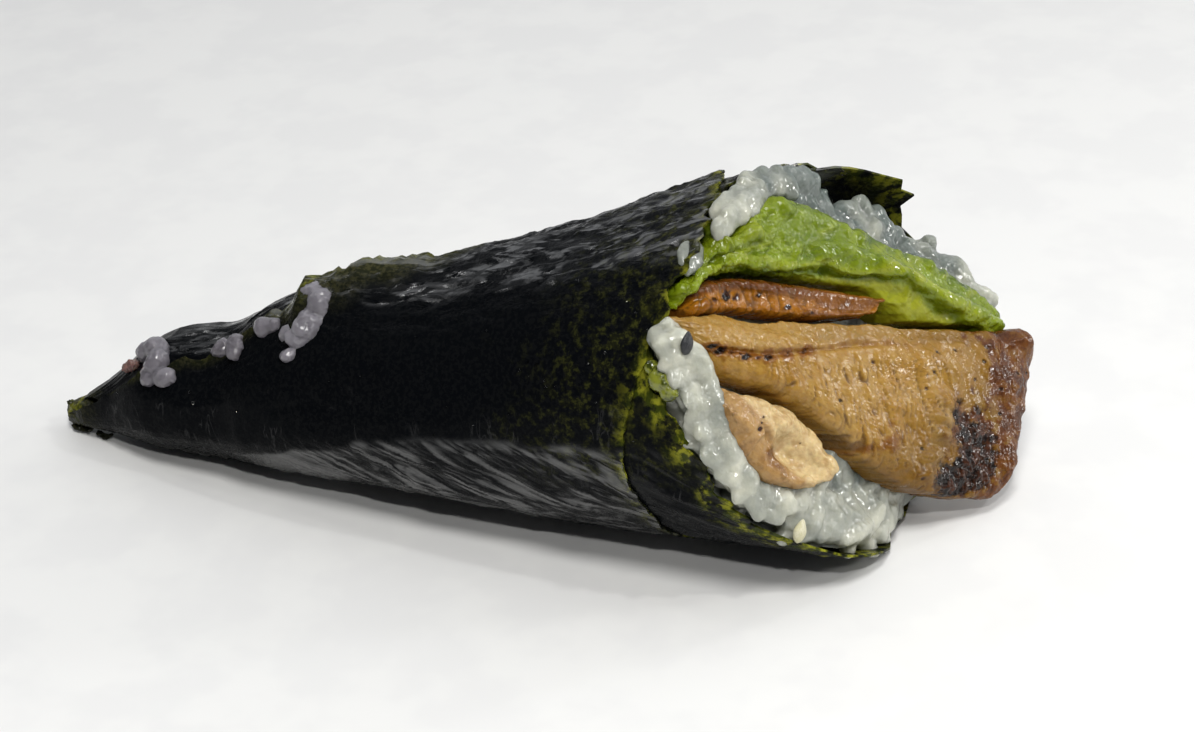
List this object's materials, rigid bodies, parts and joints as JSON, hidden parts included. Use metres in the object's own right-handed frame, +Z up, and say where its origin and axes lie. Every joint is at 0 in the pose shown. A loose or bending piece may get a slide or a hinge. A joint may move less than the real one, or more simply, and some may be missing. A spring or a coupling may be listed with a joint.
{
  "type": "temaki hand roll",
  "caption": "Cone of rolled nori lying on its side, filled with rice, avocado and pieces of glazed chicken.",
  "frame": {"origin": "middle of the footprint's bounding box, at the height of the surface that the roll lies on", "axes": "+X along the roll from its tip to its open mouth, +Y towards the far side, where the mouth's rim reaches furthest, +Z up"},
  "size_m": [0.1362, 0.055, 0.046],
  "materials": {
    "nori": "dried seaweed sheet, near black, damp sheen, olive where light comes through its thin edge",
    "rice": "cooked short-grain rice, translucent white, moist",
    "avocado": "ripe avocado flesh, creamy and smeared, yellow-green to pale yellow",
    "glazed_chicken": "grilled chicken with a sweet soy glaze, tan with fibre lines and char",
    "pale_chicken": "cooked chicken, pale tan, moist"
  },
  "bodies": {
    "root": {"nori_wrap": "nori", "rice": "rice", "avocado": "avocado", "chicken_strip_large": "glazed_chicken", "chicken_strip_small": "glazed_chicken", "chicken_piece_lower": "pale_chicken"}
  },
  "joints": []
}
